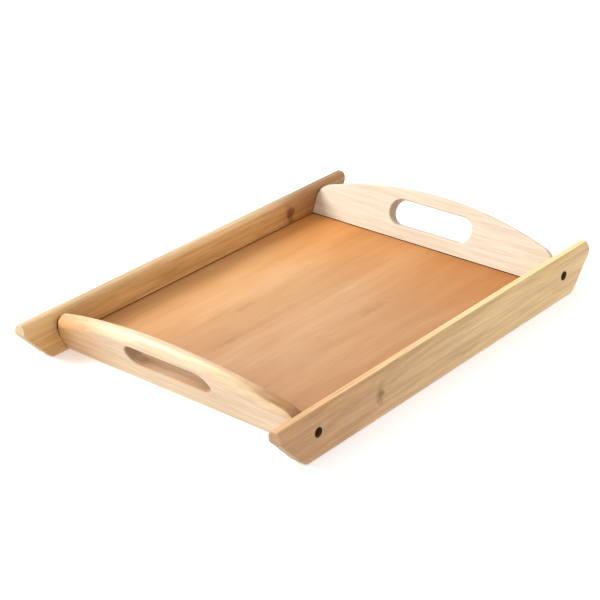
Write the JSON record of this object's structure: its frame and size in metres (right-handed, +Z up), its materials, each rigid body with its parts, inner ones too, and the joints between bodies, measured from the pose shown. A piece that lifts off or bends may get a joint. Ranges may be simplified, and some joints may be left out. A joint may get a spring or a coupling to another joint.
{
  "type": "serving tray",
  "caption": "Rectangular wooden serving tray with long low side rails, outward-leaning arched end panels with hand slots, and a flat base board.",
  "frame": {"origin": "middle of the tray's footprint, on the surface that it stands on", "axes": "+X along the side rails, from the left handle panel to the right one; +Y across the tray, from the front rail to the rear one; +Z up"},
  "size_m": [0.5, 0.352, 0.0681],
  "materials": {
    "rail_wood": "clear satin lacquer on pine",
    "panel_wood": "clear satin lacquer on pine",
    "base_board": "clear satin lacquer on plywood",
    "screw_steel": "dull zinc plate"
  },
  "bodies": {
    "root": {"side_rail_front": "rail_wood", "side_rail_rear": "rail_wood", "handle_panel_left": "panel_wood", "handle_panel_right": "panel_wood", "base_panel": "base_board", "screw_front_left": "screw_steel", "screw_front_right": "screw_steel", "screw_rear_left": "screw_steel", "screw_rear_right": "screw_steel"}
  },
  "joints": []
}
